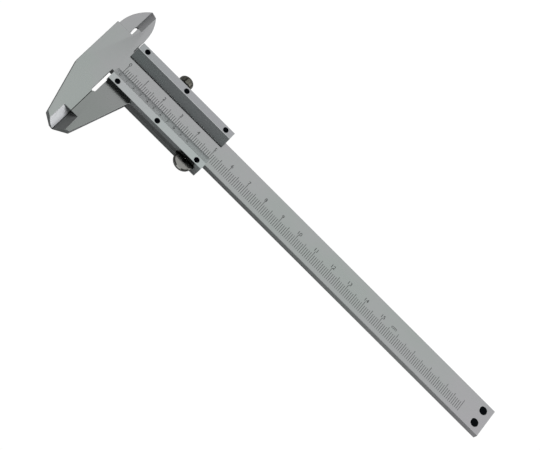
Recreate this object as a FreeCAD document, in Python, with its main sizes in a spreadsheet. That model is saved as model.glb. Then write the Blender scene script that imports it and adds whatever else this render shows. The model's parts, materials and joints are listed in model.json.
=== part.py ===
import FreeCAD, Part
import math
import os
import re

import Sketcher
from FreeCAD import Vector

# Vernier caliper with outside jaws, inside jaws and a depth rod.
# Every piece is drawn from one datum: X = 0 on the closed outside measuring faces, Y = 0 on the
# beam's lower edge and Z = 0 on the front face of the slider's middle layer. The pieces are then
# placed so that the caliper lies on its back with the origin under the middle of its length.

SIZES = {
    # beam and the head forged on it
    "beam_width": 15.0,
    "beam_thickness": 3.0,
    "beam_end": 217.0,
    "head_left": 13.5,
    "head_rise": 5.2,
    "head_shoulder": 7.4,
    "head_right": 0.3,
    "head_right_rise": 6.4,
    # outside jaws
    "jaw_depth": 37.3,
    "fixed_jaw_width": 6.5,
    "moving_jaw_width": 5.85,
    "jaw_corner_depth": 33.6,
    "tip_flat": 1.8,
    "moving_jaw_root": 14.4,
    "jaw_fillet": 2.2,
    "knife_width": 3.8,
    "knife_start": 26.4,
    "knife_edge": 0.6,
    # relief between the outside jaws above their measuring faces
    "relief_depth": 12.0,
    "fixed_relief": 0.6,
    "moving_relief": 1.2,
    "relief_lip": 0.7,
    "root_relief": 1.3,
    "root_relief_width": 1.6,
    # inside jaws
    "inside_line": 6.4,
    "inside_reach": 22.3,
    "inside_start": 9.5,
    "inside_knife_width": 3.0,
    "window_width": 1.05,
    "window_end": 10.8,
    "window_relief": 0.3,
    "fixed_fin_corner": 3.3,
    "fixed_fin_corner_rise": 19.4,
    "fixed_fin_tip_drop": 0.4,
    "fixed_fin_arc": 19.6,
    "moving_fin_left": 12.8,
    "moving_fin_arc": 22.1,
    "moving_fin_root_rise": 5.0,
    # slider layers
    "slide_clearance": 0.03,
    "edge_clearance": 0.06,
    "slider_left": 0.8,
    "slider_length": 53.7,
    "lower_overhang": 4.2,
    "upper_overhang": 4.95,
    "front_height": 2.5,
    "back_thickness": 2.5,
    # vernier plate and upper rail sections
    "vernier_edge": 3.9,
    "vernier_crest": 0.6,
    "vernier_lip": 0.15,
    "rail_cover": 3.05,
    "rail_crest_rise": 1.2,
    "rail_lip": 0.6,
    # upper spacer and spring
    "spacer_gap": 0.4,
    "spring_thickness": 0.3,
    "spring_height": 2.5,
    "spring_inset": 4.0,
    # back plate
    "back_left_corner": 8.0,
    "back_notch": 2.45,
    "back_slant": 4.0,
    # rivets
    "rivet_radius": 1.28,
    "rivet_end_inset": 3.85,
    "rail_rivet_inset": 2.0,
    "plate_rivet_inset": 1.7,
    "rivet_sink": 0.05,
    # thumb roller and its axle
    "roller_radius": 4.6,
    "roller_inset": 7.37,
    "roller_gap": 0.1,
    "roller_side_gap": 0.1,
    "roller_front_gap": 0.9,
    "roller_room": 0.4,
    "roller_bevel": 0.5,
    "knurl_count": 48,
    "knurl_depth": 0.15,
    "axle_radius": 1.0,
    "axle_clearance": 0.04,
    "ear_radius": 2.6,
    # lock screw
    "screw_from_rivet": 2.75,
    "screw_radius": 1.25,
    "screw_clearance": 0.05,
    "screw_tip_gap": 0.06,
    "screw_head_radius": 3.4,
    "screw_head_length": 4.1,
    "screw_neck": 1.0,
    "screw_head_round": 1.8,
    "screw_base_chamfer": 0.4,
    "screw_knurl_count": 48,
    "screw_knurl_depth": 0.1,
    # depth rod in the beam's back
    "rod_width": 3.0,
    "rod_thickness": 1.4,
    "rod_clearance": 0.15,
    "rod_floor_gap": 0.25,
    "rod_start": 4.0,
    "rod_pin_radius": 0.7,
    "rod_pin_first": 8.0,
    "rod_pin_pitch": 6.0,
    "rod_tip_step": 1.4,
    "rod_tip_length": 6.0,
    # stop block under the beam's far end
    "stop_length": 5.4,
    "stop_inset": 2.0,
    "stop_end_inset": 4.45,
    "stop_screw_pitch": 7.2,
    "stop_screw_head": 1.8,
    "stop_screw_head_depth": 0.9,
    "stop_screw_radius": 1.0,
    "stop_screw_clearance": 0.03,
    "stop_screw_tip": 0.4,
    "stop_channel": 0.15,
}

# Places worked out from the sizes
MIDDLE_BACK = "(-beam_thickness - 2 * slide_clearance)"
SLIDER_BACK = f"({MIDDLE_BACK} - back_thickness)"
BEAM_FRONT = "(-slide_clearance)"
BEAM_BACK = "(-slide_clearance - beam_thickness)"
HEAD_TOP = "(beam_width + head_rise)"
INSIDE_START = "(beam_width + inside_start)"
INSIDE_TIP = "(beam_width + inside_reach)"
WINDOW_TOP = "(beam_width + window_end)"
SLIDER_RIGHT = "(slider_left + slider_length)"
SLIDER_LOWER = "(-lower_overhang)"
SLIDER_UPPER = "(beam_width + upper_overhang)"
RAIL_PLACE = f"({SLIDER_UPPER} - rail_rivet_inset)"
PLATE_PLACE = f"({SLIDER_LOWER} + plate_rivet_inset)"
SPACER_LOWER = "(beam_width + spacer_gap)"
ROLLER_PLACE = f"({SLIDER_RIGHT} - roller_inset)"
ROLLER_HEIGHT = "(-roller_radius - roller_gap)"
ROLLER_FRONT = "(-roller_front_gap)"
ROLLER_BACK = f"({MIDDLE_BACK} + roller_side_gap)"
BAY_LEFT = f"({ROLLER_PLACE} - roller_radius - roller_room)"
BAY_RIGHT = f"({ROLLER_PLACE} + roller_radius + roller_room)"
RIVET_MIDDLE = f"((slider_left + {SLIDER_RIGHT}) / 2)"
SCREW_PLACE = f"({RIVET_MIDDLE} - screw_from_rivet)"
SCREW_LEVEL = f"({MIDDLE_BACK} / 2)"
ROD_MIDDLE = "(beam_width / 2)"
ROD_FRONT = f"({MIDDLE_BACK} + rod_thickness)"
STOP_PLACE = "(beam_end - stop_end_inset)"
STOP_LEFT = f"({STOP_PLACE} - stop_length / 2)"
CENTRE_ACROSS = "((beam_end - head_left) / 2)"
CENTRE_ALONG = f"(({INSIDE_TIP} - jaw_depth) / 2)"

document = FreeCAD.newDocument("Caliper")
sheet = document.addObject("Spreadsheet::Sheet", "Sizes")
pieces = []


def fill_sheet():
    """Write each size and its name into the sheet."""
    for row, (name, size) in enumerate(SIZES.items(), start=1):
        sheet.set(f"A{row}", name)
        sheet.set(f"B{row}", str(size))
        sheet.setAlias(f"B{row}", name)
    document.recompute()


def bound(expression):
    """The expression with every size name read from the sheet."""
    def from_sheet(word):
        return "Sizes." + word.group(0) if word.group(0) in SIZES else word.group(0)
    return re.sub(r"[a-z][a-z_]*", from_sheet, str(expression))


def value(expression):
    """The expression's value at the sheet's present sizes."""
    return float(sheet.evalExpression(bound(expression)))


def seat(piece):
    """Place a finished piece so that the caliper lies on its back over the origin."""
    piece.setExpression("Placement.Base.x", bound(f"-{CENTRE_ACROSS}"))
    piece.setExpression("Placement.Base.y", bound(f"-{CENTRE_ALONG}"))
    piece.setExpression("Placement.Base.z", bound(f"-{SLIDER_BACK}"))
    pieces.append(piece)
    return piece


def new_body(label):
    """An empty body with its label."""
    body = document.addObject("PartDesign::Body", label)
    body.Label = label
    return body


def sketch_on(body, role, name, offset):
    """A sketch on one of the body's origin planes, offset along the plane's normal."""
    sketch = body.newObject("Sketcher::SketchObject", name)
    plane = [feature for feature in body.Origin.OriginFeatures if feature.Role == role][0]
    sketch.AttachmentSupport = [(plane, "")]
    sketch.MapMode = "FlatFace"
    sketch.setExpression("AttachmentOffset.Base.z", bound(offset))
    return sketch


def fix(sketch, kind, geometry, expression):
    """Add a driving constraint whose value follows an expression."""
    size = value(expression)
    if kind == "Radius":
        constraint = Sketcher.Constraint(kind, geometry, size)
    else:
        constraint = Sketcher.Constraint(kind, -1, 1, geometry[0], geometry[1], size)
    index = sketch.addConstraint(constraint)
    sketch.setExpression(f"Constraints[{index}]", bound(expression))


def draw_outline(sketch, corners):
    """A closed outline, counter-clockwise; a corner's third value is the radius of the arc it starts."""
    places = [Vector(value(corner[0]), value(corner[1]), 0) for corner in corners]
    for index, corner in enumerate(corners):
        start = places[index]
        finish = places[(index + 1) % len(corners)]
        if len(corner) == 2:
            sketch.addGeometry(Part.LineSegment(start, finish))
            continue
        chord = finish - start
        outward = Vector(chord.y, -chord.x, 0).normalize()
        radius = value(corner[2])
        rise = radius - math.sqrt(radius ** 2 - chord.Length ** 2 / 4)
        sketch.addGeometry(Part.Arc(start, (start + finish) * 0.5 + outward * rise, finish))
    for index, corner in enumerate(corners):
        following = (index + 1) % len(corners)
        sketch.addConstraint(Sketcher.Constraint("Coincident", index, 2, following, 1))
    for index, corner in enumerate(corners):
        fix(sketch, "DistanceX", (index, 1), corner[0])
        fix(sketch, "DistanceY", (index, 1), corner[1])
        if len(corner) == 3:
            fix(sketch, "Radius", index, corner[2])


def draw_circle(sketch, across, along, radius):
    """A circle whose centre and radius follow expressions."""
    centre = Vector(value(across), value(along), 0)
    index = sketch.addGeometry(Part.Circle(centre, Vector(0, 0, 1), value(radius)))
    fix(sketch, "DistanceX", (index, 3), across)
    fix(sketch, "DistanceY", (index, 3), along)
    fix(sketch, "Radius", index, radius)


def pad(body, sketch, name, length):
    """Raise a sketch along its plane's normal."""
    feature = body.newObject("PartDesign::Pad", name)
    feature.Profile = sketch
    feature.setExpression("Length", bound(length))
    return feature


def pocket(body, sketch, name, length=None, along_normal=False):
    """Cut a sketch into the body, right through where no length is given, and check that it cuts."""
    document.recompute()
    before = body.Shape.Volume
    feature = body.newObject("PartDesign::Pocket", name)
    feature.Profile = sketch
    feature.Reversed = along_normal
    if length is None:
        feature.Type = "ThroughAll"
    else:
        feature.setExpression("Length", bound(length))
    document.recompute()
    if body.Shape.Volume >= before:
        raise ValueError(f"{body.Label}: {name} cuts nothing")
    return feature


def box_outline(left, lower, right, upper):
    """The four corners of a rectangle."""
    return [(left, lower), (right, lower), (right, upper), (left, upper)]


def plate(label, corners, back, thickness):
    """A flat piece with its outline in the XY plane."""
    body = new_body(label)
    outline = sketch_on(body, "XY_Plane", f"{label}_outline", back)
    draw_outline(outline, corners)
    pad(body, outline, f"{label}_plate", thickness)
    return body


def bar(label, corners, left, length):
    """A piece with one section all along X."""
    body = new_body(label)
    section = sketch_on(body, "YZ_Plane", f"{label}_section", left)
    draw_outline(section, corners)
    pad(body, section, f"{label}_bar", length)
    return body


def drill(body, name, across, along, radius, front, depth=None):
    """A round hole cut backwards from the given height."""
    circle = sketch_on(body, "XY_Plane", f"{name}_circle", front)
    draw_circle(circle, across, along, radius)
    pocket(body, circle, name, depth)


def cut_knife(body, name, line, side, width, start, face, edge, upwards):
    """Bevel a jaw down to a thin edge on its measuring line, from one height to its tip."""
    sketch = sketch_on(body, "XZ_Plane", f"{name}_section", f"-({start})")
    corners = [(line, face), (line, edge), (f"{line} + {side} * {width}", face)]
    turn = value(f"({side}) * (({edge}) - ({face}))")
    draw_outline(sketch, corners if turn < 0 else corners[::-1])
    pocket(body, sketch, name, along_normal=not upwards)


def rivet_places():
    """Centre of each rivet, by its name."""
    columns = {
        "left": "(slider_left + rivet_end_inset)",
        "middle": RIVET_MIDDLE,
        "right": f"({SLIDER_RIGHT} - rivet_end_inset)",
    }
    rows = {"upper": RAIL_PLACE, "lower": PLATE_PLACE}
    return {f"rivet_{row}_{column}": (columns[column], rows[row]) for row in rows for column in columns}


def drill_rivets(body, row, front, names):
    """The rivet holes of one row through a plate."""
    for name, (across, along) in rivet_places().items():
        if row in name and name.rsplit("_", 1)[1] in names:
            drill(body, f"{body.Label}_{name}", across, along, "rivet_radius", front)


def cylinder(label, across, along, radius, back, length):
    """A round pin along Z."""
    pin = document.addObject("Part::Cylinder", label)
    pin.Label = label
    pin.setExpression("Radius", bound(radius))
    pin.setExpression("Height", bound(length))
    pin.setExpression("Placement.Base.x", bound(f"{across} - {CENTRE_ACROSS}"))
    pin.setExpression("Placement.Base.y", bound(f"{along} - {CENTRE_ALONG}"))
    pin.setExpression("Placement.Base.z", bound(f"{back} - {SLIDER_BACK}"))
    pieces.append(pin)
    return pin


def make_beam():
    """Beam, head, fixed outside jaw and fixed inside fin in one piece."""
    corners = [
        ("0", "-jaw_depth"),
        ("0", "-relief_depth - relief_lip"),
        ("-fixed_relief", "-relief_depth"),
        ("-fixed_relief", "root_relief"),
        ("root_relief_width - fixed_relief", "root_relief"),
        ("root_relief_width - fixed_relief", "0"),
        ("beam_end", "0"),
        ("beam_end", "beam_width"),
        ("head_right", "beam_width"),
        ("head_right", "beam_width + head_right_rise", "fixed_fin_arc"),
        ("-fixed_fin_corner", "beam_width + fixed_fin_corner_rise"),
        ("-inside_line", f"{INSIDE_TIP} - fixed_fin_tip_drop"),
        ("-inside_line", WINDOW_TOP),
        ("-inside_line + window_width", WINDOW_TOP),
        ("-inside_line + window_width", HEAD_TOP),
        ("-head_left", HEAD_TOP),
        ("-head_left", "-head_shoulder"),
        ("-fixed_jaw_width", "-jaw_corner_depth - 0.2"),
        ("-tip_flat", "-jaw_depth + 0.2"),
    ]
    body = plate("beam", corners, BEAM_BACK, "beam_thickness")
    cut_knife(body, "fixed_jaw_knife", "0", "-1", "knife_width", "-knife_start",
              BEAM_FRONT, f"{BEAM_BACK} + knife_edge", upwards=False)
    cut_knife(body, "fixed_fin_knife", "-inside_line", "1", "inside_knife_width", INSIDE_START,
              BEAM_FRONT, f"{BEAM_BACK} + knife_edge", upwards=True)
    groove = sketch_on(body, "XY_Plane", "rod_groove_outline", BEAM_BACK)
    draw_outline(groove, box_outline(
        "rod_start - rod_clearance", f"{ROD_MIDDLE} - rod_width / 2 - rod_clearance",
        "beam_end + 1", f"{ROD_MIDDLE} + rod_width / 2 + rod_clearance"))
    pocket(body, groove, "rod_groove", "rod_thickness + rod_floor_gap", along_normal=True)
    for name, along in stop_screw_places().items():
        drill(body, f"{name}_hole", STOP_PLACE, along,
              "stop_screw_radius + stop_screw_clearance", BEAM_FRONT)
        drill(body, f"{name}_seat", STOP_PLACE, along,
              "stop_screw_head + stop_screw_clearance", BEAM_FRONT, "stop_screw_head_depth")
    return seat(body)


def stop_screw_places():
    """Height of each stop screw on the beam, by its name."""
    return {
        "stop_screw_upper": "(beam_width / 2 + stop_screw_pitch / 2)",
        "stop_screw_lower": "(beam_width / 2 - stop_screw_pitch / 2)",
    }


def make_stop_block():
    """Block under the beam's far end that closes the rod's groove and stops the slider."""
    corners = box_outline(STOP_LEFT, "stop_inset", f"{STOP_LEFT} + stop_length", "beam_width - stop_inset")
    body = plate("stop_block", corners, SLIDER_BACK, f"{BEAM_BACK} - {SLIDER_BACK}")
    channel = sketch_on(body, "XY_Plane", "stop_channel_outline", BEAM_BACK)
    draw_outline(channel, box_outline(
        f"{STOP_LEFT} - 1", f"{ROD_MIDDLE} - rod_width / 2 - rod_clearance",
        f"{STOP_LEFT} + stop_length + 1", f"{ROD_MIDDLE} + rod_width / 2 + rod_clearance"))
    pocket(body, channel, "stop_channel_cut", "stop_channel")
    for name, along in stop_screw_places().items():
        drill(body, f"{name}_thread", STOP_PLACE, along, "stop_screw_radius + stop_screw_clearance", BEAM_BACK)
    return seat(body)


def make_stop_screws():
    """Two flat-headed screws that hold the stop block."""
    for name, along in stop_screw_places().items():
        body = new_body(name)
        section = sketch_on(body, "XY_Plane", f"{name}_head_circle", f"{BEAM_FRONT} - stop_screw_head_depth")
        draw_circle(section, STOP_PLACE, along, "stop_screw_head")
        pad(body, section, f"{name}_head", "stop_screw_head_depth - rivet_sink")
        shank = sketch_on(body, "XY_Plane", f"{name}_shank_circle", f"{SLIDER_BACK} + stop_screw_tip")
        draw_circle(shank, STOP_PLACE, along, "stop_screw_radius")
        pad(body, shank, f"{name}_shank",
            f"{BEAM_FRONT} - stop_screw_head_depth - {SLIDER_BACK} - stop_screw_tip + 0.1")
        seat(body)


def make_moving_jaw():
    """Moving outside jaw and the slider's lower bar, in the beam's own layer."""
    corners = [
        ("0", "-jaw_depth"),
        ("moving_jaw_width", "-jaw_corner_depth"),
        ("moving_jaw_root", SLIDER_LOWER),
        (BAY_LEFT, SLIDER_LOWER),
        (BAY_LEFT, "-edge_clearance"),
        ("moving_relief", "-edge_clearance"),
        ("moving_relief", "-relief_depth"),
        ("0", "-relief_depth - relief_lip"),
    ]
    body = plate("moving_jaw", corners, MIDDLE_BACK, f"-{MIDDLE_BACK}")
    document.recompute()
    root = Vector(value("moving_jaw_root"), value(SLIDER_LOWER), 0)
    edge = nearest_edge(body.Shape, root, Vector(0, 0, 1))
    unrounded = body.Tip
    fillet = body.newObject("PartDesign::Fillet", "jaw_root_fillet")
    fillet.Base = (unrounded, [edge])
    fillet.setExpression("Radius", bound("jaw_fillet"))
    cut_knife(body, "moving_jaw_knife", "0", "1", "knife_width", "-knife_start",
              "0", f"{MIDDLE_BACK} + knife_edge", upwards=False)
    drill_rivets(body, "lower", "0", ("left", "middle"))
    return seat(body)


def nearest_edge(shape, place, direction):
    """Name of the straight edge along a direction that passes nearest to a place."""
    best = None
    for index, edge in enumerate(shape.Edges, start=1):
        if edge.Curve.TypeId != "Part::GeomLine":
            continue
        along = edge.tangentAt(edge.FirstParameter)
        if abs(abs(along.dot(direction)) - 1) > 1e-6:
            continue
        middle = edge.CenterOfMass - place
        across = middle - direction * middle.dot(direction)
        if best is None or across.Length < best[0]:
            best = (across.Length, f"Edge{index}")
    return best[1]


def make_rear_spacer():
    """Short block that closes the roller's bay at the slider's right end."""
    corners = box_outline(BAY_RIGHT, SLIDER_LOWER, SLIDER_RIGHT, "-edge_clearance")
    return seat(plate("rear_spacer", corners, MIDDLE_BACK, f"-{MIDDLE_BACK}"))


def make_upper_spacer():
    """Bar above the beam, tapped for the lock screw."""
    corners = box_outline("slider_left", SPACER_LOWER, SLIDER_RIGHT, SLIDER_UPPER)
    body = plate("upper_spacer", corners, MIDDLE_BACK, f"-{MIDDLE_BACK}")
    bore = sketch_on(body, "XZ_Plane", "lock_bore_circle", f"-{SLIDER_UPPER}")
    draw_circle(bore, SCREW_PLACE, SCREW_LEVEL, "screw_radius + screw_clearance")
    pocket(body, bore, "lock_bore", along_normal=True)
    drill_rivets(body, "upper", "0", ("left", "middle", "right"))
    return seat(body)


def make_vernier_plate():
    """Lower front plate whose bevel carries the vernier scale down to the beam."""
    section = [
        (SLIDER_LOWER, "0"),
        ("vernier_edge", "0"),
        ("vernier_edge", "vernier_lip"),
        ("-vernier_crest", "front_height"),
        (SLIDER_LOWER, "front_height"),
    ]
    body = bar("vernier_plate", section, "slider_left", "slider_length")
    drill_rivets(body, "lower", "front_height", ("left", "middle", "right"))
    return seat(body)


def make_upper_rail():
    """Upper front plate with its long slope towards the scale."""
    section = [
        ("beam_width - rail_cover", "0"),
        (SLIDER_UPPER, "0"),
        (SLIDER_UPPER, "front_height"),
        ("beam_width + rail_crest_rise", "front_height"),
        ("beam_width - rail_cover", "rail_lip"),
    ]
    body = bar("upper_rail", section, "slider_left", "slider_length")
    drill_rivets(body, "upper", "front_height", ("left", "middle", "right"))
    return seat(body)


def make_back_plate():
    """Slider's back plate with the moving inside fin and the roller's ear."""
    corners = [
        ("moving_relief", SLIDER_LOWER),
        (SLIDER_RIGHT, SLIDER_LOWER),
        (SLIDER_RIGHT, SLIDER_UPPER),
        ("-inside_line - window_relief", SLIDER_UPPER),
        ("-inside_line - window_relief", WINDOW_TOP),
        ("-inside_line", WINDOW_TOP),
        ("-inside_line", INSIDE_TIP, "moving_fin_arc"),
        ("-moving_fin_left", "beam_width + moving_fin_root_rise"),
        ("-moving_fin_left", "back_left_corner"),
        ("-back_slant", "back_notch"),
        ("moving_relief", "back_notch"),
    ]
    body = plate("back_plate", corners, SLIDER_BACK, "back_thickness")
    cut_knife(body, "moving_fin_knife", "-inside_line", "-1", "inside_knife_width", INSIDE_START,
              SLIDER_BACK, f"{MIDDLE_BACK} - knife_edge", upwards=True)
    ear = sketch_on(body, "XY_Plane", "roller_ear_circle", SLIDER_BACK)
    draw_circle(ear, ROLLER_PLACE, ROLLER_HEIGHT, "ear_radius")
    pad(body, ear, "roller_ear", "back_thickness")
    drill(body, "roller_axle_hole", ROLLER_PLACE, ROLLER_HEIGHT, "axle_radius", MIDDLE_BACK)
    drill_rivets(body, "upper", MIDDLE_BACK, ("left", "middle", "right"))
    drill_rivets(body, "lower", MIDDLE_BACK, ("left", "middle"))
    for step in range(2):
        drill(body, f"rod_pin_{step + 1}_hole", f"rod_pin_first + {step} * rod_pin_pitch", ROD_MIDDLE,
              "rod_pin_radius", MIDDLE_BACK)
    return seat(body)


def make_rivets():
    """Flush rivets through the slider's layers; the one over the roller's bay is short."""
    for name, (across, along) in rivet_places().items():
        back = "0" if name == "rivet_lower_right" else SLIDER_BACK
        cylinder(name, across, along, "rivet_radius", back, f"front_height - rivet_sink - {back}")


def make_spring():
    """Flat strip between the beam's upper edge and the spacer that the lock screw presses."""
    corners = box_outline("slider_left + spring_inset", f"{SPACER_LOWER} - spring_thickness",
                          f"{SLIDER_RIGHT} - spring_inset", SPACER_LOWER)
    back = f"({SCREW_LEVEL} - spring_height / 2)"
    return seat(plate("spring_strip", corners, back, "spring_height"))


def make_depth_rod():
    """Thin rod in the beam's groove, flush with the beam's end when the jaws are closed."""
    lower = f"{ROD_MIDDLE} - rod_width / 2"
    corners = [
        ("rod_start", lower),
        ("beam_end - rod_tip_length", lower),
        ("beam_end - rod_tip_length", f"{lower} + rod_tip_step"),
        ("beam_end", f"{lower} + rod_tip_step"),
        ("beam_end", f"{ROD_MIDDLE} + rod_width / 2"),
        ("rod_start", f"{ROD_MIDDLE} + rod_width / 2"),
    ]
    body = plate("depth_rod", corners, MIDDLE_BACK, "rod_thickness")
    for step in range(2):
        drill(body, f"rod_pin_{step + 1}_seat", f"rod_pin_first + {step} * rod_pin_pitch", ROD_MIDDLE,
              "rod_pin_radius", ROD_FRONT)
        cylinder(f"rod_pin_{step + 1}", f"(rod_pin_first + {step} * rod_pin_pitch)", ROD_MIDDLE,
                 "rod_pin_radius", SLIDER_BACK, f"{ROD_FRONT} - {SLIDER_BACK}")
    return seat(body)


def cut_knurl(body, name, profile, count, axis):
    """Repeat one notch round an axis of the body."""
    document.recompute()
    before = body.Shape.Volume
    pattern = body.newObject("PartDesign::PolarPattern", f"{name}_pattern")
    pattern.Originals = [profile]
    pattern.Axis = axis
    pattern.Angle = 360
    pattern.setExpression("Occurrences", bound(count))
    body.Tip = pattern
    document.recompute()
    if body.Shape.Volume >= before:
        raise ValueError(f"{body.Label}: {name} adds no notch")


def origin_axis(body, role):
    """One of the body's origin axes."""
    axis = [feature for feature in body.Origin.OriginFeatures if feature.Role == role][0]
    return (axis, [""])


def notch_corners(radius, depth, half_width):
    """A pointed notch at the top of a circle about the sketch's origin."""
    return [
        (f"-({half_width})", f"{radius} + {depth}"),
        ("0", f"{radius} - {depth}"),
        (half_width, f"{radius} + {depth}"),
    ]


def make_roller():
    """Knurled thumb roller with flat faces, turned about its own origin."""
    body = new_body("thumb_roller")
    thickness = f"({ROLLER_FRONT} - {ROLLER_BACK})"
    section = sketch_on(body, "XZ_Plane", "roller_section", "0")
    bore = "(axle_radius + axle_clearance)"
    draw_outline(section, [
        (bore, "0"),
        ("roller_radius - roller_bevel", "0"),
        ("roller_radius", "roller_bevel"),
        ("roller_radius", f"{thickness} - roller_bevel"),
        ("roller_radius - roller_bevel", thickness),
        (bore, thickness),
    ])
    turned = body.newObject("PartDesign::Revolution", "roller_turned")
    turned.Profile = section
    turned.ReferenceAxis = (section, ["V_Axis"])
    turned.Angle = 360
    notch = sketch_on(body, "XY_Plane", "roller_notch", thickness)
    draw_outline(notch, notch_corners("roller_radius", "knurl_depth", "knurl_depth"))
    cut = pocket(body, notch, "roller_notch_cut")
    cut_knurl(body, "roller_knurl", cut, "knurl_count", origin_axis(body, "Z_Axis"))
    body.setExpression("Placement.Base.x", bound(f"{ROLLER_PLACE} - {CENTRE_ACROSS}"))
    body.setExpression("Placement.Base.y", bound(f"{ROLLER_HEIGHT} - {CENTRE_ALONG}"))
    body.setExpression("Placement.Base.z", bound(f"{ROLLER_BACK} - {SLIDER_BACK}"))
    pieces.append(body)
    cylinder("roller_axle", ROLLER_PLACE, ROLLER_HEIGHT, "axle_radius", SLIDER_BACK,
             f"{ROLLER_FRONT} - {SLIDER_BACK}")


def make_lock_screw():
    """Round-headed lock screw across the slider's top, turned about its own origin."""
    body = new_body("lock_screw")
    tip = f"({SPACER_LOWER} + screw_tip_gap)"
    base = f"({SLIDER_UPPER} + screw_neck)"
    top = f"({base} + screw_head_length)"
    section = sketch_on(body, "XY_Plane", "screw_section", "0")
    draw_outline(section, [
        ("0", tip),
        ("screw_radius", tip),
        ("screw_radius", base),
        ("screw_head_radius - screw_base_chamfer", base),
        ("screw_head_radius", f"{base} + screw_base_chamfer"),
        ("screw_head_radius", f"{top} - screw_head_round", "screw_head_round * 1.15"),
        ("screw_head_radius - screw_head_round", top),
        ("0", top),
    ])
    turned = body.newObject("PartDesign::Revolution", "screw_turned")
    turned.Profile = section
    turned.ReferenceAxis = (section, ["V_Axis"])
    turned.Angle = 360
    notch = sketch_on(body, "XZ_Plane", "screw_notch", f"-({top}) + screw_head_round")
    draw_outline(notch, notch_corners("screw_head_radius", "screw_knurl_depth", "screw_knurl_depth"))
    cut = pocket(body, notch, "screw_notch_cut", "screw_head_length", along_normal=True)
    cut_knurl(body, "screw_knurl", cut, "screw_knurl_count", origin_axis(body, "Y_Axis"))
    body.setExpression("Placement.Base.x", bound(f"{SCREW_PLACE} - {CENTRE_ACROSS}"))
    body.setExpression("Placement.Base.y", bound(f"-{CENTRE_ALONG}"))
    body.setExpression("Placement.Base.z", bound(f"{SCREW_LEVEL} - {SLIDER_BACK}"))
    pieces.append(body)


def check_and_write():
    """Stop on any failed object or shape, then write one file for each piece."""
    document.recompute()
    for item in document.Objects:
        if "Invalid" in item.State or "Error" in item.State:
            raise ValueError(f"{item.Label} failed: {item.State}")
    for piece in pieces:
        shape = piece.Shape
        if shape.isNull() or not shape.isValid() or len(shape.Solids) != 1:
            raise ValueError(f"{piece.Label} is not one valid solid")
    os.makedirs("parts", exist_ok=True)
    for piece in pieces:
        piece.Shape.exportStep(f"parts/{piece.Label}.step")


fill_sheet()
make_beam()
make_stop_block()
make_stop_screws()
make_moving_jaw()
make_rear_spacer()
make_upper_spacer()
make_vernier_plate()
make_upper_rail()
make_back_plate()
make_rivets()
make_spring()
make_depth_rod()
make_roller()
make_lock_screw()
check_and_write()
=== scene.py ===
"""Looks of a sliding caliper: finishes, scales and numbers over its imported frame."""

import json
import logging
import math
from dataclasses import dataclass, field, replace
from enum import Enum

import bmesh
import bpy
from mathutils import Matrix, Vector

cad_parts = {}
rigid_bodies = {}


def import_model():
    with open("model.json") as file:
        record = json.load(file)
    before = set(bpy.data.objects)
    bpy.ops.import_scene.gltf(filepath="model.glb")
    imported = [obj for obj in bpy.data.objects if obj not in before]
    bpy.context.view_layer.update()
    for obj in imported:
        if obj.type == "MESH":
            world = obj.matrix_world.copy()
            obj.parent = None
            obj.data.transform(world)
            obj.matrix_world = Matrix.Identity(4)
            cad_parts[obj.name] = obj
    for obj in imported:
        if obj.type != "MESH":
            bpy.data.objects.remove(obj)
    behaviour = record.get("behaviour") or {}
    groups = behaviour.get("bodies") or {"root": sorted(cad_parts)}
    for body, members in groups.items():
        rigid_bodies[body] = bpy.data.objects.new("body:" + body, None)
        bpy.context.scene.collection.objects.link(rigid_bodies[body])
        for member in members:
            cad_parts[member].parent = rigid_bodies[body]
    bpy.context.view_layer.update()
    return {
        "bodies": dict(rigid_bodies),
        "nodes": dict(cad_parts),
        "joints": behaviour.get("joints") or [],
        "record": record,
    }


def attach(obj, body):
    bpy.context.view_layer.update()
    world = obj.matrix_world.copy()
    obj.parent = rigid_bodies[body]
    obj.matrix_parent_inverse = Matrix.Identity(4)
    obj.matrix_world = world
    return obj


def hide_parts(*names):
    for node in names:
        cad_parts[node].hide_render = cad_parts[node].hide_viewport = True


log = logging.getLogger("caliper")

Triple = tuple[float, float, float]

MM = 0.001
# Where the drawing's datum lies in the row frame, in millimetres: the datum is on the closed
# outside measuring faces, the beam's lower edge and the front of the slider's middle layer.
DATUM = Vector((-101.75, 0.0, 5.56))
WHITE = (1.0, 1.0, 1.0, 1.0)
# The part of a noise's range that nearly all of its values lie in
NOISE_MIDDLE = (0.3, 0.7)
# Vertices of a CAD node nearer than this become one, in millimetres
WELD = 0.002
# Faces that turn less than this against each other become one
FLAT = math.radians(0.5)


class Body(Enum):
    """The moving bodies of the caliper."""

    BEAM = "beam_body"
    SLIDER = "slider"
    LOCK_SCREW = "lock_screw_body"
    ROLLER = "roller_body"


class Slot(Enum):
    """The record's material slots."""

    SATIN_STEEL = "satin_steel"
    SATIN_CHROME = "satin_chrome"
    BLACK_STEEL = "black_steel"
    BRIGHT_STEEL = "bright_steel"
    NICKEL_KNOB = "nickel_knob"
    SPRING_STEEL = "spring_steel"


class Maths(Enum):
    """Math node operations behind Python's operators."""

    ADD = "ADD"
    SUBTRACT = "SUBTRACT"
    MULTIPLY = "MULTIPLY"


# Shader maths


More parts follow.
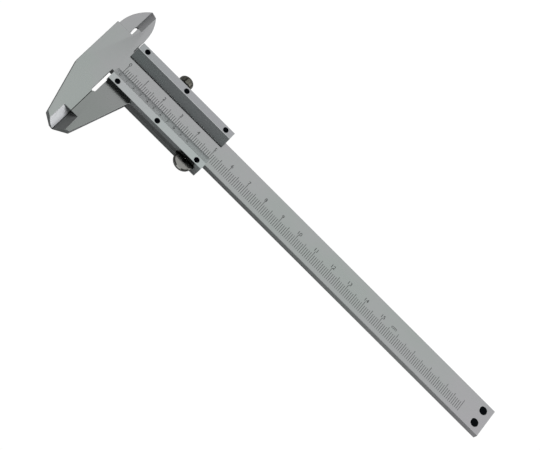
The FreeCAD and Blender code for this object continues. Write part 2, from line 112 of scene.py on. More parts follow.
class Wire:
    """One output socket of a node tree, with sums and products written as Python."""

    def __init__(self, board: "Board", socket: bpy.types.NodeSocket) -> None:
        """Holds a socket and the board it belongs to.

        Args:
            board: The node tree's board.
            socket: An output socket on that board.
        """
        self.board = board
        self.socket = socket

    def _joined(self, operation: Maths, first: object, second: object) -> "Wire":
        """Adds a Math node.

        Args:
            operation: What the node works out.
            first: A wire or a number.
            second: A wire or a number.

        Returns:
            The node's result.
        """
        return self.board.node(
            "ShaderNodeMath", {"operation": operation.value}, {0: first, 1: second}
        )

    def __add__(self, other: object) -> "Wire":
        """This wire plus another wire or a number."""
        return self._joined(Maths.ADD, self, other)

    def __sub__(self, other: object) -> "Wire":
        """This wire less another wire or a number."""
        return self._joined(Maths.SUBTRACT, self, other)

    def __mul__(self, other: object) -> "Wire":
        """This wire times another wire or a number."""
        return self._joined(Maths.MULTIPLY, self, other)


class Board:
    """A node tree being laid out, for one material or for the world."""

    def __init__(self, tree: bpy.types.NodeTree) -> None:
        """Takes over a tree and clears it.

        Args:
            tree: The node tree.
        """
        self.tree = tree
        self.tree.nodes.clear()

    def node(
        self,
        kind: str,
        settings: dict[str, object] | None = None,
        values: dict[object, object] | None = None,
        output: object = 0,
    ) -> Wire:
        """Adds a node, with its settings first and then its sockets.

        Args:
            kind: The node's type.
            settings: Its properties by name.
            values: Wires or plain values by socket name or number.
            output: The name or number of the output wanted.

        Returns:
            That output as a wire.
        """
        made = self.tree.nodes.new(kind)
        for name, setting in (settings or {}).items():
            setattr(made, name, setting)
        for name, given in (values or {}).items():
            if isinstance(given, Wire):
                self.tree.links.new(given.socket, made.inputs[name])
            else:
                made.inputs[name].default_value = given
        return Wire(self, made.outputs[output] if made.outputs else None)

    def object_places(self, scale: Triple) -> Wire:
        """Object coordinates, stretched.

        Args:
            scale: How often a pattern repeats in a metre along each axis.

        Returns:
            The stretched coordinates.
        """
        place = self.node("ShaderNodeTexCoord", output="Object")
        return self.node("ShaderNodeMapping", {}, {"Vector": place, "Scale": scale})

    def noise(self, scale: Triple, detail: float) -> Wire:
        """A noise pattern on object coordinates.

        Args:
            scale: Repeats in a metre along each axis.
            detail: How many finer layers it has.

        Returns:
            The noise, from 0 to 1.
        """
        return self.node(
            "ShaderNodeTexNoise",
            {},
            {"Vector": self.object_places(scale), "Scale": 1.0, "Detail": detail},
            "Fac",
        )

    def spread(self, source: Wire, low: float, high: float) -> Wire:
        """Stretches the middle of a noise over a range.

        Args:
            source: Noise from 0 to 1.
            low: What its low part becomes.
            high: What its high part becomes.

        Returns:
            The value, held inside the range.
        """
        return self.ranged(source, *NOISE_MIDDLE, low, high)

    def ranged(
        self, source: Wire, start: float, end: float, low: float, high: float
    ) -> Wire:
        """Maps one range of a value to another.

        Args:
            source: The value.
            start: Where the first range starts.
            end: Where it ends.
            low: What its start becomes.
            high: What its end becomes.

        Returns:
            The value, held inside the second range.
        """
        return self.node(
            "ShaderNodeMapRange",
            {"clamp": True},
            {"Value": source, 1: start, 2: end, 3: low, 4: high},
        )

    def tint(self, share: Wire, first: object, second: object) -> Wire:
        """Mixes two colours, each a wire or three numbers.

        Args:
            share: How much of the second colour shows.
            first: The first colour.
            second: The second colour.

        Returns:
            The mixed colour.
        """
        ends = [end if isinstance(end, Wire) else (*end, 1.0) for end in (first, second)]
        return self.node(
            "ShaderNodeMix", {"data_type": "RGBA"}, {0: share, 6: ends[0], 7: ends[1]}, 2
        )

    def attribute(self, name: str) -> Wire:
        """A face attribute by its name, 0 where a piece has none."""
        return self.node("ShaderNodeAttribute", {"attribute_name": name}, {}, "Fac")


def new_material(name: str) -> tuple[bpy.types.Material, Board]:
    """Makes an empty material.

    Args:
        name: The material's name.

    Returns:
        The material and the board of its node tree.
    """
    material = bpy.data.materials.new(name)
    material.use_nodes = True
    return material, Board(material.node_tree)


# Finishes


@dataclass(frozen=True)
class MetalFinish:
    """A worked metal face: its tone, its grain and its rubbed edges, with a painted highlight on
    the knife face and painted shade along the joint line.
    """

    name: str
    dark: Triple
    light: Triple
    rubbed: Triple
    roughness: float
    roughness_swing: float
    grain: Triple
    mottle: Triple
    cloud: Triple = (14.0, 20.0, 20.0)
    grain_detail: float = 3.0
    mottle_detail: float = 2.0
    cloud_detail: float = 1.0
    grain_share: float = 0.15
    cloud_share: float = 0.45
    # The knife face's tone; where it is lighter than the face around it, as on the beam, it is a
    # painted highlight
    knife: Triple = (0.40, 0.41, 0.41)
    knife_roughness: float = 0.50
    # Painted shade: the near-black tone of the eased strips where the closed jaws meet, standing
    # in for the shadow in the gap between them
    seam: Triple = (0.012, 0.012, 0.013)
    relief: float = 0.03
    relief_height: float = 2e-6
    rubbed_polish: float = 0.3
    metallic: float = 1.0

    def make(self) -> bpy.types.Material:
        """Lays out the material.

        Returns:
            The finished material.
        """
        material, board = new_material(self.name)
        grain = board.noise(self.grain, self.grain_detail)
        mottle = board.noise(self.mottle, self.mottle_detail)
        cloud = board.spread(board.noise(self.cloud, self.cloud_detail), 0.0, 1.0)
        rest_share = 1.0 - self.grain_share - self.cloud_share
        mixed = grain * self.grain_share + mottle * rest_share + cloud * self.cloud_share
        edge = board.attribute("rubbed")
        knife = board.attribute("knife")
        tone = board.tint(board.spread(mixed, 0.0, 1.0), self.dark, self.light)
        # Painted highlight: the knife face takes its own lighter tone in place of the side light
        # that the jaw's wall keeps off it
        tone = board.tint(knife, tone, self.knife)
        tone = board.tint(edge, tone, self.rubbed)
        # Painted shade along the joint line between the closed jaws
        tone = board.tint(board.attribute("seam"), tone, self.seam)
        rough = board.spread(
            mixed,
            self.roughness - self.roughness_swing,
            self.roughness + self.roughness_swing,
        )
        bump = board.node(
            "ShaderNodeBump",
            {},
            {"Height": grain, "Strength": self.relief, "Distance": self.relief_height},
        )
        shader = board.node(
            "ShaderNodeBsdfPrincipled",
            {},
            {
                "Base Color": tone,
                "Metallic": self.metallic,
                "Roughness": rough
                - edge * (self.rubbed_polish * self.roughness)
                + knife * (self.knife_roughness - self.roughness),
                "Normal": bump,
            },
        )
        board.node("ShaderNodeOutputMaterial", {}, {"Surface": shader})
        return material


GROUND_STEEL = MetalFinish(
    "ground_steel",
    dark=(0.318, 0.345, 0.333),
    light=(0.366, 0.362, 0.374),
    rubbed=(0.37, 0.38, 0.38),
    roughness=0.30,
    roughness_swing=0.03,
    grain=(90.0, 1400.0, 1400.0),
    mottle=(70.0, 70.0, 70.0),
    # Painted highlight: the fixed jaw's knife face is nearly twice as light as the beam, standing
    # in for side light
    knife=(0.66, 0.67, 0.69),
)
JAW_STEEL = replace(
    GROUND_STEEL,
    name="jaw_steel",
    dark=(0.222, 0.237, 0.229),
    light=(0.260, 0.261, 0.265),
    roughness=0.28,
    knife=(0.26, 0.27, 0.27),
)
SATIN_CHROME = MetalFinish(
    "satin_chrome",
    dark=(0.362, 0.398, 0.392),
    light=(0.402, 0.404, 0.412),
    rubbed=(0.50, 0.52, 0.52),
    roughness=0.27,
    roughness_swing=0.03,
    grain=(3000.0, 3000.0, 3000.0),
    mottle=(90.0, 90.0, 90.0),
    grain_share=0.1,
)
RAIL_CHROME = replace(
    SATIN_CHROME,
    name="rail_chrome",
    dark=(0.294, 0.320, 0.322),
    light=(0.338, 0.340, 0.354),
)
BLACK_OXIDE = MetalFinish(
    "black_oxide",
    dark=(0.001, 0.001, 0.002),
    light=(0.003, 0.004, 0.005),
    rubbed=(0.012, 0.012, 0.013),
    roughness=0.40,
    roughness_swing=0.06,
    grain=(2500.0, 2500.0, 2500.0),
    mottle=(400.0, 400.0, 400.0),
)
TURNED_STEEL = MetalFinish(
    "turned_steel",
    dark=(0.23, 0.23, 0.218),
    light=(0.29, 0.29, 0.277),
    rubbed=(0.32, 0.32, 0.30),
    roughness=0.24,
    roughness_swing=0.04,
    grain=(900.0, 900.0, 4000.0),
    mottle=(200.0, 200.0, 200.0),
)
WARM_NICKEL = MetalFinish(
    "warm_nickel",
    dark=(0.100, 0.102, 0.084),
    light=(0.145, 0.143, 0.124),
    rubbed=(0.13, 0.13, 0.11),
    roughness=0.20,
    roughness_swing=0.02,
    grain=(1500.0, 4000.0, 1500.0),
    mottle=(300.0, 300.0, 300.0),
)
# Painted shade: a near-black copy of the turned steel for the roller's axle, standing in for the
# plate's shadow over the roller's middle
SHADED_AXLE_STEEL = replace(
    TURNED_STEEL,
    name="oiled_steel",
    dark=(0.05, 0.05, 0.05),
    light=(0.08, 0.08, 0.08),
)
SPRING_FINISH = MetalFinish(
    "spring_finish",
    dark=(0.36, 0.36, 0.35),
    light=(0.46, 0.46, 0.45),
    rubbed=(0.60, 0.60, 0.60),
    roughness=0.28,
    roughness_swing=0.05,
    grain=(80.0, 3000.0, 3000.0),
    mottle=(80.0, 80.0, 80.0),
)


@dataclass(frozen=True)
class InkFinish:
    """The black fill of the scale lines and numbers, slightly uneven."""

    name: str = "scale_ink"
    dark: Triple = (0.008, 0.009, 0.009)
    light: Triple = (0.024, 0.026, 0.027)
    roughness: float = 0.55
    roughness_swing: float = 0.1
    wear: Triple = (700.0, 700.0, 700.0)
    wear_detail: float = 3.0

    def make(self) -> bpy.types.Material:
        """Lays out the material.

        Returns:
            The finished material.
        """
        material, board = new_material(self.name)
        worn = board.noise(self.wear, self.wear_detail)
        rough = board.spread(
            worn,
            self.roughness - self.roughness_swing,
            self.roughness + self.roughness_swing,
        )
        shader = board.node(
            "ShaderNodeBsdfPrincipled",
            {},
            {
                "Base Color": board.tint(board.spread(worn, 0.0, 1.0), self.dark, self.light),
                "Roughness": rough,
            },
        )
        board.node("ShaderNodeOutputMaterial", {}, {"Surface": shader})
        return material


class Finishes:
    """The caliper's materials, each made once."""

    def __init__(self) -> None:
        """Makes every finish and ties it to the record's slots."""
        self.by_slot = {
            Slot.SATIN_STEEL: GROUND_STEEL.make(),
            Slot.SATIN_CHROME: SATIN_CHROME.make(),
            Slot.BLACK_STEEL: BLACK_OXIDE.make(),
            Slot.BRIGHT_STEEL: TURNED_STEEL.make(),
            Slot.NICKEL_KNOB: WARM_NICKEL.make(),
            Slot.SPRING_STEEL: SPRING_FINISH.make(),
        }
        self.jaw_steel = JAW_STEEL.make()
        self.rail_chrome = RAIL_CHROME.make()
        self.oiled_steel = SHADED_AXLE_STEEL.make()
        self.ink = InkFinish().make()


# Shaping helpers


def at(x: float, y: float, z: float) -> Vector:
    """A point of the drawing in the row frame.

    Args:
        x: Millimetres along the beam from the closed jaws.
        y: Millimetres up from the beam's lower edge.
        z: Millimetres forward of the middle layer's front.

    Returns:
        The point in metres.
    """
    return (Vector((x, y, z)) + DATUM) * MM


def piece_from(
    shell: bmesh.types.BMesh, name: str, material: bpy.types.Material
) -> bpy.types.Object:
    """Turns a bmesh into an object at the origin.

    Args:
        shell: The bmesh, in metres in the row frame; it is freed.
        name: The piece's name.
        material: Its finish.

    Returns:
        The object.
    """
    mesh = bpy.data.meshes.new(name)
    shell.to_mesh(mesh)
    shell.free()
    mesh.materials.append(material)
    made = bpy.data.objects.new(name, mesh)
    bpy.context.scene.collection.objects.link(made)
    return made


@dataclass
class EasedCopy:
    """A CAD node's shape with its sharp edges eased, as a stone leaves them.

    Lengths are in millimetres. An edge sharper than `sharp` is eased where it is longer than
    `shortest`, lies below `left_sharp_above` and has `room` times the easing beside it. Edges
    that turn less than `smooth` are shaded as one surface. The knife face is the one more than
    `knife_below` under the beam whose normal leans to `knife_side` along X, 0 for no such face.
    """

    node: str
    slot: Slot
    body: Body
    ease: float
    segments: int = 2
    clamped: bool = False
    shortest: float = 0.0
    left_sharp_above: float = 100.0
    sharp: float = math.radians(24.0)
    smooth: float = math.radians(14.0)
    room: float = 2.2
    knife_side: float = 0.0
    knife_below: float = 10.0
    knife_lean: float = 0.3
    knife_rise: float = 0.5
    joint_line: float | None = None
    joint_below: float = 1.0
    joint_reach: float = 1.1

    def build(
        self, frame: dict, finishes: Finishes, finish: bpy.types.Material | None = None
    ) -> bpy.types.Object:
        """Copies, cleans and eases the node, and puts the copy in its place.

        Args:
            finishes: The caliper's materials.
            finish: The piece's own material, where the slot's isn't used.

        Returns:
            The new piece.
        """
        shell = bmesh.new()
        shell.from_mesh(frame["nodes"][self.node].data)
        bmesh.ops.scale(shell, vec=(1.0 / MM,) * 3, verts=shell.verts)
        bmesh.ops.remove_doubles(shell, verts=shell.verts, dist=WELD)
        bmesh.ops.dissolve_limit(shell, angle_limit=FLAT, verts=shell.verts, edges=shell.edges)
        self.mark_knife(shell)
        rubbed = shell.faces.layers.float.new("rubbed")
        seam = shell.faces.layers.float.new("seam")
        eased = bmesh.ops.bevel(
            shell,
            geom=[edge for edge in shell.edges if self.is_eased(edge)],
            offset=self.ease,
            offset_type="OFFSET",
            affect="EDGES",
            segments=self.segments,
            profile=0.5,
            material=-1,
            clamp_overlap=self.clamped,
        )
        for strip in eased["faces"]:
            strip[rubbed] = 1.0
            # Painted shade: the eased strips on the jaws' joint line are marked for the near-black
            # tone of the gap's shadow
            strip[seam] = 1.0 if self.on_joint(strip.calc_center_median()) else 0.0
        for face in shell.faces:
            face.smooth = True
        for edge in shell.edges:
            edge.smooth = edge.is_manifold and edge.calc_face_angle(0.0) < self.smooth
        bmesh.ops.scale(shell, vec=(MM,) * 3, verts=shell.verts)
        made = piece_from(shell, f"{self.node}_eased", finish or finishes.by_slot[self.slot])
        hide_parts(self.node)
        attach(made, self.body.value)
        return made

    def is_eased(self, edge: bmesh.types.BMEdge) -> bool:
        """Whether an edge is sharp and both of its faces have room for the easing.

        Args:
            edge: An edge of the copy.

        Returns:
            True where the stone takes it off.
        """
        if not edge.is_manifold or edge.calc_face_angle(0.0) < self.sharp:
            return False
        first, second = (vert.co for vert in edge.verts)
        middle = (first + second) / 2
        if edge.calc_length() < self.shortest or middle.y > self.left_sharp_above:
            return False
        for face in edge.link_faces:
            inwards = face.normal.cross((second - first).normalized())
            width = max(abs((vert.co - first).dot(inwards)) for vert in face.verts)
            if width < self.room * self.ease:
                return False
        return True

    def mark_knife(self, shell: bmesh.types.BMesh) -> None:
        """Marks the outside jaw's knife face, which lies aslant towards the joint.

        Args:
            shell: The copy, in millimetres in the row frame.
        """
        knife = shell.faces.layers.float.new("knife")
        for face in shell.faces:
            leans = face.normal.x * self.knife_side > self.knife_lean
            rises = face.normal.z > self.knife_rise
            outside = face.calc_center_median().y < DATUM.y - self.knife_below
            face[knife] = 1.0 if leans and rises and outside else 0.0

    def on_joint(self, place: Vector) -> bool:
        """Whether a place lies on the line where the closed outside jaws meet.

        Args:
            place: A point in millimetres in the row frame.

        Returns:
            True on that line.
        """
        if self.joint_line is None:
            return False
        near = abs(place.x - DATUM.x - self.joint_line) < self.ease * self.joint_reach
        return near and place.y < DATUM.y - self.joint_below


# Scales


@dataclass
class ScaleFace:
    """A flat face that carries lines and numbers, with its own axes."""

    origin: Vector
    along: Vector
    up: Vector

    def axes(self) -> Matrix:
        """The face's axes and origin as one matrix, in metres."""
        out = self.along.cross(self.up)
        turn = Matrix((self.along, self.up, out)).transposed().to_4x4()
        return Matrix.Translation(self.origin) @ turn


@dataclass
class Scale:
    """Lines and numbers filled with black on one face."""

    name: str
    face: ScaleFace
    body: Body
    line_width: float = 0.20
    proud: float = 0.012
    sunk: float = 0.03
    figure_share: float = 0.70
    curve_steps: int = 3
    weld: float = 1e-4

    def lines(
        self, marks: list[Triple], ink: bpy.types.Material
    ) -> bpy.types.Object:
        """Makes the lines as thin fills in the face.

        Args:
            marks: Place along the face, and where the line starts and ends, in millimetres.
            ink: The fill's material.

        Returns:
            The lines as one piece.
        """
        shell = bmesh.new()
        axes = self.face.axes()
        thick = self.proud + self.sunk
        for along, start, end in marks:
            bar = bmesh.ops.create_cube(shell, size=1.0)["verts"]
            extent = Vector((self.line_width, end - start, thick)) * MM
            bmesh.ops.scale(shell, vec=extent, verts=bar)
            middle = Vector((along, (start + end) / 2, (self.proud - self.sunk) / 2)) * MM
            bmesh.ops.translate(shell, vec=middle, verts=bar)
            bmesh.ops.transform(shell, matrix=axes, verts=bar)
        made = piece_from(shell, f"{self.name}_lines", ink)
        return self.dress(made)

    def numbers(
        self,
        words: list[tuple[str, float, float]],
        height: float,
        ink: bpy.types.Material,
    ) -> bpy.types.Object:
        """Makes the numbers as thin fills in the face.

        Args:
            words: Each text and its middle along and up the face, in millimetres.
            height: How tall the figures are, in millimetres.
            ink: The fill's material.

        Returns:
            The numbers as one piece.
        """
        shell = bmesh.new()
        axes = self.face.axes()
        for text, along, up in words:
            curve = bpy.data.curves.new(f"{self.name}_word", "FONT")
            curve.body = text
            curve.align_x = "CENTER"
            curve.align_y = "CENTER"
            curve.size = height * MM / self.figure_share
            curve.extrude = (self.proud + self.sunk) * MM / 2
            curve.resolution_u = self.curve_steps
            holder = bpy.data.objects.new(f"{self.name}_word", curve)
            bpy.context.scene.collection.objects.link(holder)
            bpy.context.view_layer.update()
            flat = bpy.data.meshes.new_from_object(holder)
            middle = Vector((along, up, (self.proud - self.sunk) / 2)) * MM
            flat.transform(axes @ Matrix.Translation(middle))
            shell.from_mesh(flat)
            bpy.data.objects.remove(holder)
            bpy.data.curves.remove(curve)
            bpy.data.meshes.remove(flat)
        bmesh.ops.remove_doubles(shell, verts=shell.verts, dist=self.weld * MM)
        made = piece_from(shell, f"{self.name}_numbers", ink)
        return self.dress(made)

    def dress(self, made: bpy.types.Object) -> bpy.types.Object:
        """Puts a fill on its body.

        Args:
            made: The piece.

        Returns:
            The same piece.
        """
        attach(made, self.body.value)
        return made


# Sub-assemblies


@dataclass
class Beam:
    """The beam with its millimetre scale and the stop's two screws, in millimetres."""

    front: float = -0.03
    scale_zero: float = 3.4
    last_mark: int = 200
    lines_start: float = 2.2
    short_end: float = 6.6
    five_end: float = 7.6
    ten_end: float = 8.3
    numbers_middle: float = 9.0
    numbers_height: float = 1.75
    last_number: int = 15
    numbers_pitch: float = 10.0
    unit_place: float = 160.2
    ease: float = 0.15
    screw_ease: float = 0.08
    fin_tip: float = 32.0

    def build(self, frame: dict, finishes: Finishes) -> list[bpy.types.Object]:
        """Builds and dresses the beam's pieces.

        Args:
            finishes: The caliper's materials.

        Returns:
            The new pieces.
        """
        eased = EasedCopy(
            "beam",
            Slot.SATIN_STEEL,
            Body.BEAM,
            self.ease,
            left_sharp_above=self.fin_tip,
            knife_side=1.0,
            joint_line=0.0,
        )
        origin = at(self.scale_zero, 0.0, self.front)
        face = ScaleFace(origin, Vector((1, 0, 0)), Vector((0, 1, 0)))
        scale = Scale("beam_scale", face, Body.BEAM)
        marks = [
            (float(mark), self.lines_start, self.line_end(mark))
            for mark in range(self.last_mark + 1)
        ]
        words = [
            (str(n), self.numbers_pitch * n, self.numbers_middle)
            for n in range(self.last_number + 1)
        ]
        words.append(("cm", self.unit_place - self.scale_zero, self.numbers_middle))
        made = [
            eased.build(frame, finishes),
            scale.lines(marks, finishes.ink),
            scale.numbers(words, self.numbers_height, finishes.ink),
        ]
        for screw in ("stop_screw_upper", "stop_screw_lower"):
            copy = EasedCopy(screw, Slot.BLACK_STEEL, Body.BEAM, self.screw_ease, clamped=True)
            made.append(copy.build(frame, finishes))
        return made

    def line_end(self, mark: int) -> float:
        """Where a millimetre line ends.

        Args:
            mark: The millimetre it stands for.

        Returns:
            Its upper end above the beam's lower edge, in millimetres.
        """
        if mark % 10 == 0:
            return self.ten_end
        if mark % 5 == 0:
            return self.five_end
        return self.short_end


@dataclass
class Slider:
    """The moving jaw with its plates and rivets."""

    ease: float = 0.15
    back_ease: float = 0.12
    hole_chord: float = 0.28
    bevel_start: float = 3.0
    rivet_ease: float = 0.08
    rivets: tuple[str, ...] = (
        "rivet_upper_left",
        "rivet_upper_middle",
        "rivet_upper_right",
        "rivet_lower_left",
        "rivet_lower_middle",
        "rivet_lower_right",
    )

    def build(self, frame: dict, finishes: Finishes) -> list[bpy.types.Object]:
        """Builds and dresses the slider's pieces.

        Args:
            finishes: The caliper's materials.

        Returns:
            The new pieces.
        """
        jaw = EasedCopy(
            "moving_jaw",
            Slot.SATIN_STEEL,
            Body.SLIDER,
            self.ease,
            shortest=self.hole_chord,
            knife_side=-1.0,
            joint_line=0.0,
        )
        rail = EasedCopy(
            "upper_rail", Slot.SATIN_CHROME, Body.SLIDER, self.ease, shortest=self.hole_chord
        )
        made = [
            jaw.build(frame, finishes, finishes.jaw_steel),
            rail.build(frame, finishes, finishes.rail_chrome),
        ]
        copies = [
            EasedCopy(
                "back_plate",
                Slot.SATIN_STEEL,
                Body.SLIDER,
                self.back_ease,
                shortest=self.hole_chord,
            ),
            EasedCopy(
                "vernier_plate",
                Slot.SATIN_CHROME,
                Body.SLIDER,
                self.back_ease,
                clamped=True,
                left_sharp_above=self.bevel_start,
            ),
        ]
        for rivet in self.rivets:
            copies.append(
                EasedCopy(rivet, Slot.BLACK_STEEL, Body.SLIDER, self.rivet_ease, clamped=True)
            )
        return made + [copy.build(frame, finishes) for copy in copies]


@dataclass
class Vernier:
    """The twenty-division scale on the vernier plate's bevel."""

    zero: float = 3.4
    edge_along: float = 3.9
    edge_level: float = 0.15
    crest_along: float = -0.6
    crest_level: float = 2.5
    divisions: int = 20
    spacing: float = 1.95
    first_gap: float = 0.12
    line_width: float = 0.14
    long_end: float = 1.75
    short_end: float = 1.2
    numbers_middle: float = 3.15
    numbers_height: float = 1.5

    def build(self, finishes: Finishes) -> list[bpy.types.Object]:
        """Builds and dresses the vernier's lines and numbers.

        Args:
            finishes: The caliper's materials.

        Returns:
            The new pieces.
        """
        origin = at(self.zero, self.edge_along, self.edge_level)
        slope = origin - at(self.zero, self.crest_along, self.crest_level)
        face = ScaleFace(origin, Vector((1, 0, 0)), slope.normalized())
        scale = Scale("vernier_scale", face, Body.SLIDER, self.line_width)
        marks = []
        words = []
        for n in range(self.divisions + 1):
            numbered = n % 2 == 0
            end = self.long_end if numbered else self.short_end
            marks.append((n * self.spacing, -end, -self.first_gap))
            if numbered:
                words.append((str(n // 2 % 10), n * self.spacing, -self.numbers_middle))
        return [
            scale.lines(marks, finishes.ink),
            scale.numbers(words, self.numbers_height, finishes.ink),
        ]


@dataclass
class Knobs:
    """The lock screw above the slider and the thumb roller below it."""

    ease: float = 0.05

    def build(self, frame: dict, finishes: Finishes) -> list[bpy.types.Object]:
        """Builds and dresses the two turning pieces.

        Args:
            finishes: The caliper's materials.

        Returns:
            The new pieces.
        """
        copies = [
            EasedCopy("lock_screw", Slot.NICKEL_KNOB, Body.LOCK_SCREW, self.ease, 1, clamped=True),
            EasedCopy("thumb_roller", Slot.BRIGHT_STEEL, Body.ROLLER, self.ease, 1, clamped=True),
        ]
        return [copy.build(frame, finishes) for copy in copies]


@dataclass
class HiddenSteel:
    """The CAD nodes that stay as they are and take a finish, the roller's axle a near-black one as
    painted shade.
    """

    slots: dict[str, Slot] = field(
        default_factory=lambda: {
            "rear_spacer": Slot.SATIN_STEEL,
            "upper_spacer": Slot.SATIN_STEEL,
            "stop_block": Slot.SPRING_STEEL,
            "spring_strip": Slot.SPRING_STEEL,
            "depth_rod": Slot.SPRING_STEEL,
            "rod_pin_1": Slot.SPRING_STEEL,
            "rod_pin_2": Slot.SPRING_STEEL,
            "roller_axle": Slot.BRIGHT_STEEL,
        }
    )
    # The node painted near-black as shade in place of its bright steel
    oiled: str = "roller_axle"

    def dress(self, frame: dict, finishes: Finishes) -> None:
        """Gives each node its finish.

        Args:
            finishes: The caliper's materials.
        """
        for node, slot in self.slots.items():
            finish = finishes.oiled_steel if node == self.oiled else finishes.by_slot[slot]
            for holder in frame["nodes"][node].material_slots:
                holder.material = finish


# Studio


@dataclass(frozen=True)
class SoftBox:
    """A soft light that faces the caliper, in metres, with 1 as the radiance of a white face."""

    name: str
    towards: Triple
    size: tuple[float, float]
    radiance: float
    colour: Triple = (1.0, 1.0, 1.0)
    distance: float = 1.5


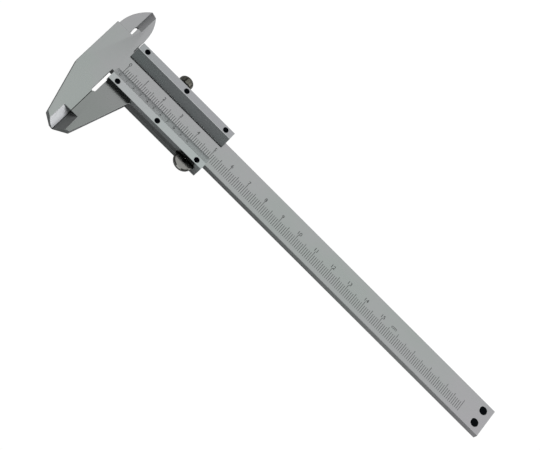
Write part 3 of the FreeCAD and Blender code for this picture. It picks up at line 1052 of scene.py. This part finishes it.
@dataclass
class Studio:
    """Floor, soft lights, black card and camera: metres, and millimetres for the lens."""

    boxes: tuple[SoftBox, ...] = (
        SoftBox("back_box", (0.20, 0.50, 0.86), (1.8, 1.5), 1.0),
        SoftBox("back_low", (0.05, 0.99, 0.12), (1.8, 0.36), 0.85),
        SoftBox("side_box", (0.86, 0.40, 0.34), (1.1, 0.6), 1.95),
        SoftBox("top_strip", (0.05, -0.23, 0.97), (1.8, 0.35), 0.36, (0.90, 1.0, 0.97)),
        SoftBox("left_fill", (-0.80, 0.50, 0.33), (0.9, 0.8), 0.45),
        SoftBox("front_strip", (0.05, -0.87, 0.49), (1.2, 0.2), 2.4),
    )
    target: Vector = field(default_factory=lambda: Vector((-0.010124, 0.001749, 0.00553)))
    eye: Vector = field(default_factory=lambda: Vector((-0.067749, -0.394504, 0.658433)))
    right: Vector = field(default_factory=lambda: Vector((0.70654125, 0.57559393, 0.41169294)))
    up: Vector = field(default_factory=lambda: Vector((-0.70366098, 0.63326788, 0.32223132)))
    lens: float = 122.0357
    sensor: float = 36.0
    nearest: float = 0.01
    farthest: float = 20.0
    ambient: float = 0.09
    glossy_share: float = 0.06
    floor_half: float = 4.0
    # Painted shade on the floor: its own colour and the white that reflections see both fall off
    # towards the head
    floor_dim: Triple = (0.72, 0.72, 0.74)
    floor_pale: Triple = (0.95, 0.95, 0.95)
    dim_until: float = -0.05
    pale_from: float = 0.06
    floor_share: float = 0.9
    floor_white: float = 1.1
    floor_glossy_rise: float = 0.13
    card_towards: Triple = (0.05, -0.60, 0.80)
    card_distance: float = 1.3
    card_half: float = 0.46
    card_black: Triple = (0.002, 0.002, 0.002)

    def backdrop_share(self, board: Board, whole: float, mirrored: Wire | float) -> Wire:
        """How much of a ray sees the plain white background.

        Args:
            board: The node tree's board.
            whole: The share for camera rays.
            mirrored: The share for reflected rays.

        Returns:
            The share, by the kind of ray.
        """
        camera = board.node("ShaderNodeLightPath", output="Is Camera Ray")
        glossy = board.node("ShaderNodeLightPath", output="Is Glossy Ray")
        through = board.node("ShaderNodeLightPath", output="Is Transmission Ray")
        return camera * whole + glossy * mirrored + through * whole

    def build_world(self) -> None:
        """Lays out the world: white to the eye, soft grey as light."""
        world = bpy.data.worlds.new("studio_world")
        bpy.context.scene.world = world
        world.use_nodes = True
        board = Board(world.node_tree)
        share = self.backdrop_share(board, 1.0, self.glossy_share)
        grey = board.node("ShaderNodeBackground", {}, {"Color": WHITE, "Strength": self.ambient})
        white = board.node("ShaderNodeBackground", {}, {"Color": WHITE, "Strength": 1.0})
        mixed = board.node("ShaderNodeMixShader", {}, {0: share, 1: grey, 2: white})
        board.node("ShaderNodeOutputWorld", {}, {"Surface": mixed})

    def build_floor(self) -> None:
        """Makes the pale floor with painted shade: dimmer under the head than under the beam's far
        end, and less white to reflections there.
        """
        material, board = new_material("studio_floor")
        place = board.node("ShaderNodeTexCoord", output="Object")
        across = board.node("ShaderNodeSeparateXYZ", {}, {"Vector": place}, "X")
        # Painted shade: the floor's colour and its white for reflections ramp up from the head
        # towards the beam's far end
        pale = board.ranged(across, self.dim_until, self.pale_from, 0.0, 1.0)
        mirrored = pale * self.floor_glossy_rise + self.glossy_share
        share = self.backdrop_share(board, self.floor_share, mirrored)
        shade = board.tint(pale, self.floor_dim, self.floor_pale)
        matt = board.node("ShaderNodeBsdfDiffuse", {}, {"Color": shade})
        white = board.node(
            "ShaderNodeEmission", {}, {"Color": WHITE, "Strength": self.floor_white}
        )
        mixed = board.node("ShaderNodeMixShader", {}, {0: share, 1: matt, 2: white})
        board.node("ShaderNodeOutputMaterial", {}, {"Surface": mixed})
        shell = bmesh.new()
        bmesh.ops.create_grid(shell, x_segments=1, y_segments=1, size=self.floor_half)
        floor = piece_from(shell, "studio_floor", material)

    def add_light(self, box: SoftBox) -> None:
        """Adds a soft box that faces the caliper.

        Args:
            box: Its place, size and brightness.
        """
        lamp = bpy.data.lights.new(box.name, "AREA")
        lamp.color = box.colour
        lamp.shape = "RECTANGLE"
        lamp.size, lamp.size_y = box.size
        lamp.energy = box.radiance * math.pi * box.size[0] * box.size[1]
        holder = bpy.data.objects.new(box.name, lamp)
        bpy.context.scene.collection.objects.link(holder)
        way = Vector(box.towards).normalized()
        holder.location = self.target + way * box.distance
        holder.rotation_mode = "QUATERNION"
        holder.rotation_quaternion = way.to_track_quat("Z", "Y")

    def add_card(self) -> None:
        """Adds the black card that the polished faces see in place of the room."""
        material, board = new_material("front_card")
        matt = board.node("ShaderNodeBsdfDiffuse", {}, {"Color": (*self.card_black, 1.0)})
        board.node("ShaderNodeOutputMaterial", {}, {"Surface": matt})
        way = Vector(self.card_towards).normalized()
        turn = way.to_track_quat("Z", "Y").to_matrix().to_4x4()
        shell = bmesh.new()
        bmesh.ops.create_grid(shell, x_segments=1, y_segments=1, size=self.card_half)
        place = Matrix.Translation(self.target + way * self.card_distance) @ turn
        bmesh.ops.transform(shell, matrix=place, verts=shell.verts)
        card = piece_from(shell, "front_card", material)
        card.visible_camera = False
        card.visible_diffuse = False
        card.visible_shadow = False

    def build_camera(self) -> None:
        """Makes the camera at the photograph's place."""
        lens = bpy.data.cameras.new("camera")
        lens.lens = self.lens
        lens.sensor_width = self.sensor
        lens.clip_start = self.nearest
        lens.clip_end = self.farthest
        camera = bpy.data.objects.new("camera", lens)
        bpy.context.scene.collection.objects.link(camera)
        back = self.right.cross(self.up)
        turn = Matrix((self.right, self.up, back)).transposed().to_4x4()
        camera.matrix_world = Matrix.Translation(self.eye) @ turn
        bpy.context.scene.camera = camera

    def build(self) -> None:
        """Builds the studio."""
        self.build_world()
        self.build_floor()
        for box in self.boxes:
            self.add_light(box)
        self.add_card()
        self.build_camera()
        bpy.context.scene.view_settings.view_transform = "Standard"


def report(pieces: list[bpy.types.Object]) -> None:
    """Logs each new piece.

    Args:
        pieces: The pieces just built.
    """
    for piece in pieces:
        log.info("%s: %d faces", piece.name, len(piece.data.polygons))


def main() -> None:
    """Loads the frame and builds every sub-assembly."""
    logging.basicConfig(level=logging.INFO, format="%(message)s")
    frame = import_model()
    finishes = Finishes()
    report(Beam().build(frame, finishes))
    report(Slider().build(frame, finishes))
    report(Vernier().build(finishes))
    report(Knobs().build(frame, finishes))
    HiddenSteel().dress(frame, finishes)
    Studio().build()
    bpy.context.view_layer.update()


if __name__ == "__main__":
    main()
